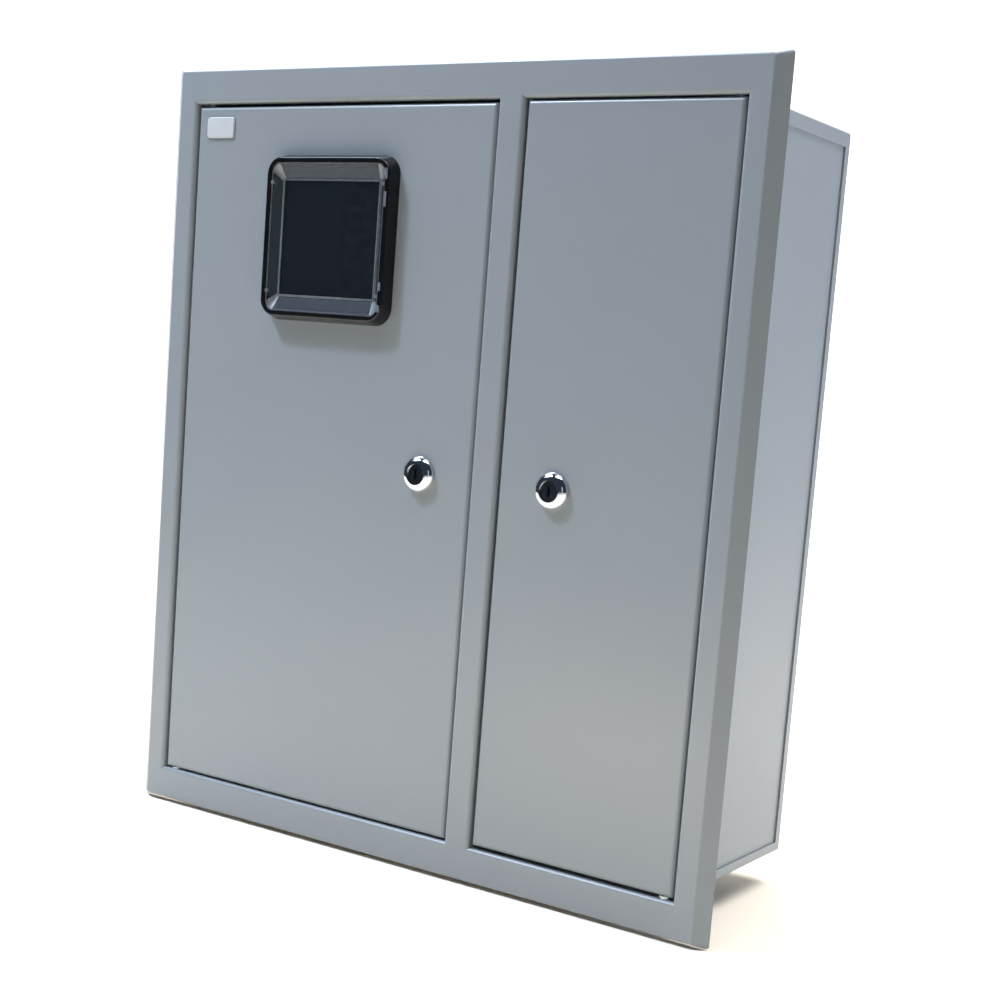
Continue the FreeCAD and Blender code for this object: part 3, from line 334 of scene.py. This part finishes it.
# Clear polycarbonate is faintly grey and very smooth, with a few dull smears from wiping.
clear_cover, tree, surface, place = start_finish("clear_polycarbonate")
smear = add_node(tree, "ShaderNodeTexNoise",
                 {"Vector": place, "Scale": SMEARS_PER_METRE, "Detail": 5.0, "Distortion": 1.2})
gloss = add_node(tree, "ShaderNodeMapRange",
                 {"Value": smear.outputs["Fac"], "From Min": SMEAR_SHOWS[0], "From Max": SMEAR_SHOWS[1],
                  "To Min": COVER_ROUGH[0], "To Max": COVER_ROUGH[1]})
tree.links.new(gloss.outputs["Result"], surface.inputs["Roughness"])
surface.inputs["Base Color"].default_value = linear(COVER_TINT)
surface.inputs["IOR"].default_value = 1.58
surface.inputs["Specular Tint"].default_value = linear(COVER_GLINT)
surface.inputs["Transmission Weight"].default_value = 0.96
give(clear_cover, "window_pane")

# The cover's bead, posts and edges are hazier, and their pale colour is a painted highlight for glints.
painted_edge_highlight, tree, surface, place = start_finish("polycarbonate_edges_painted_highlight")
grain = add_node(tree, "ShaderNodeTexNoise",
                 {"Vector": place, "Scale": 1 / (EDGE_GLINT_SPACING * MM), "Detail": 2.0})
tone = add_node(tree, "ShaderNodeMix",
                {0: grain.outputs["Fac"], 6: linear(EDGE_HIGHLIGHT_BRIGHT), 7: linear(EDGE_HIGHLIGHT_DIM)},
                data_type="RGBA")
tree.links.new(tone.outputs[2], surface.inputs["Base Color"])
surface.inputs["IOR"].default_value = 1.58
surface.inputs["Roughness"].default_value = 0.3
surface.inputs["Transmission Weight"].default_value = 0.68
soft_edged("window_pane", "meter_door", MOULD_EDGE, painted_edge_highlight)


# Badge: a small plate stuck on the meter door, left bare. It is a moulding with a silver-white satin
# lacquer, a little rounded on its edges.
BADGE_SILVER = "#b6bbbd"
BADGE_SHADE = "#a9afb1"
BADGE_EDGE = 0.6                # mm, edge radius
LACQUER_FLECK = 0.8             # mm between the flecks of the lacquer

badge_finish, tree, surface, place = start_finish("silver_lacquer")
fleck = add_node(tree, "ShaderNodeTexNoise",
                 {"Vector": place, "Scale": 1 / (LACQUER_FLECK * MM), "Detail": 2.0})
tone = add_node(tree, "ShaderNodeMix",
                {0: fleck.outputs["Fac"], 6: linear(BADGE_SILVER), 7: linear(BADGE_SHADE)},
                data_type="RGBA")
tree.links.new(tone.outputs[2], surface.inputs["Base Color"])
surface.inputs["Roughness"].default_value = 0.25
give(badge_finish, "badge_plate")
soft_edged("badge_plate", "meter_door", BADGE_EDGE)


# Floor: a plain sweep of matt pale paper. It lies under the box and curves up behind it, square to the
# camera, so that no line crosses the picture. It ends sooner on the left, where the lock faces look, so
# they stay dark. Its sizes are in metres.
LOOK_LEFT = math.radians(32.332)
FLOOR_PALE = "#f7eddd"
FLOOR_GAP = 0.5                 # mm from the box's lowest point down to the paper
SWEEP_LEFT = -1.5
SWEEP_RIGHT = 4.0
SWEEP_FRONT = -3.0
SWEEP_BACK = 1.2
SWEEP_RADIUS = 1.2
SWEEP_STEPS = 24
SWEEP_TOP = 3.6

sweep = bmesh.new()
front_edge = sweep.verts.new((SWEEP_LEFT, SWEEP_FRONT, 0))
back_edge = sweep.verts.new((SWEEP_LEFT, SWEEP_BACK, 0))
sweep.edges.new((front_edge, back_edge))
curve = bmesh.ops.spin(sweep, geom=[back_edge], cent=(0, SWEEP_BACK, SWEEP_RADIUS), axis=(1, 0, 0),
                       angle=math.pi / 2, steps=SWEEP_STEPS, use_merge=False)
curve_end = curve["geom_last"][0]
top_edge = sweep.verts.new((SWEEP_LEFT, curve_end.co.y, SWEEP_TOP))
sweep.edges.new((curve_end, top_edge))
right_side = bmesh.ops.extrude_edge_only(sweep, edges=sweep.edges[:])["geom"]
bmesh.ops.translate(sweep, verts=[v for v in right_side if isinstance(v, bmesh.types.BMVert)],
                    vec=(SWEEP_RIGHT - SWEEP_LEFT, 0, 0))
under_box = Matrix.Translation((0, 0, cad_low.z - FLOOR_GAP * MM)) @ Matrix.Rotation(LOOK_LEFT, 4, "Z")
bmesh.ops.transform(sweep, verts=sweep.verts[:], matrix=under_box)
bmesh.ops.recalc_face_normals(sweep, faces=sweep.faces[:])
for face in sweep.faces:
    face.smooth = True
floor_mesh = bpy.data.meshes.new("paper_sweep")
sweep.to_mesh(floor_mesh)
sweep.free()
floor = bpy.data.objects.new("paper_sweep", floor_mesh)
bpy.context.scene.collection.objects.link(floor)
paper, tree, surface, place = start_finish("matt_white_paper")
surface.inputs["Base Color"].default_value = linear(FLOOR_PALE)
surface.inputs["Roughness"].default_value = 0.9
surface.inputs["Specular IOR Level"].default_value = 0.1
floor_mesh.materials.append(paper)


# Light: two large soft sources overhead whiten the paper. A small bright one at the front left throws the
# locks' shadows, and the door edges and the window mirror the cards beside it. Weak ones left, right and
# behind open the folds and the case's side, and a low warm one lifts the foot of the doors as a floor does.
ROOM_BLUE = "#b9d2f5"
ROOM_STRENGTH = 0.06


def soft_light(name, place, aim, size, power, colour):
    """Rectangular area light at a place, turned towards aim; places and sizes in metres, power in watts."""
    lamp = bpy.data.lights.new(name, "AREA")
    lamp.shape = "RECTANGLE"
    lamp.size, lamp.size_y = size
    lamp.energy = power
    lamp.color = linear(colour)[:3]
    holder = bpy.data.objects.new(name, lamp)
    holder.location = place
    holder.rotation_euler = (Vector(aim) - Vector(place)).to_track_quat("-Z", "Y").to_euler()
    bpy.context.scene.collection.objects.link(holder)


soft_light("overhead_softbox", place=(-0.6, 0.5, 1.7), aim=(-0.6, 0.5, 0), size=(3.2, 1.3),
           power=86.0, colour="#ffffff")
soft_light("backdrop_softbox", place=(0.8, -0.2, 2.2), aim=(-1.2, 2.0, 0.8), size=(2.4, 0.8),
           power=60.0, colour="#ffffff")
soft_light("key_softbox", place=(-0.95, -0.9, 1.75), aim=(0, 0, 0), size=(0.2, 0.2),
           power=43.5, colour="#d9e7ff")
soft_light("ceiling_card", place=(-1.0, -0.66, 1.4), aim=(0, -0.1, 0), size=(1.2, 0.5),
           power=19.0, colour="#d9e7ff")
soft_light("left_strip", place=(-2.0, 0.3, 0.2), aim=(0, 0, 0), size=(0.5, 1.4),
           power=9.0, colour="#f0f5ff")
soft_light("side_softbox", place=(2.0, 1.4, 0.3), aim=(0, 0, 0), size=(1.2, 1.2),
           power=31.0, colour="#c8dcff")
soft_light("side_strip", place=(1.25, -1.55, 0.25), aim=(0, 0, 0.15), size=(0.25, 0.8),
           power=0.6, colour="#eef4ff")
soft_light("front_card", place=(-1.33, -1.2, 1.3), aim=(0, -0.1, 0.1), size=(0.8, 0.6),
           power=2.8, colour="#e2ecff")
soft_light("floor_card", place=(0.08, -0.5, -0.24), aim=(0.05, -0.17, -0.2), size=(0.4, 0.08),
           power=0.3, colour="#ffe2bd")

room = bpy.data.worlds.new("dim_room")
room.use_nodes = True
background = room.node_tree.nodes["Background"]
background.inputs["Color"].default_value = linear(ROOM_BLUE)
background.inputs["Strength"].default_value = ROOM_STRENGTH
bpy.context.scene.world = room
bpy.context.scene.view_settings.view_transform = "Standard"


# Camera: the photograph's own place and angle, found from the corners of the frame and the case. The
# place is in metres, the lens and the sensor in millimetres.
CAMERA_PLACE = (0.64370, -1.05371, 0.07995)
LOOK_DOWN = math.radians(7.590)
TILT = math.radians(4.511)
LENS = 60.44
SENSOR = 36.0
SHIFT_ACROSS = -0.0183          # shares of the picture's width
SHIFT_UP = 0.0820

camera_data = bpy.data.cameras.new("camera")
camera_data.lens = LENS
camera_data.sensor_width = SENSOR
camera_data.shift_x = SHIFT_ACROSS
camera_data.shift_y = SHIFT_UP
camera = bpy.data.objects.new("camera", camera_data)
camera.matrix_world = (Matrix.Translation(CAMERA_PLACE)
                       @ Matrix.Rotation(LOOK_LEFT, 4, "Z")
                       @ Matrix.Rotation(math.pi / 2 - LOOK_DOWN, 4, "X")
                       @ Matrix.Rotation(TILT, 4, "Z"))
bpy.context.scene.collection.objects.link(camera)
bpy.context.scene.camera = camera
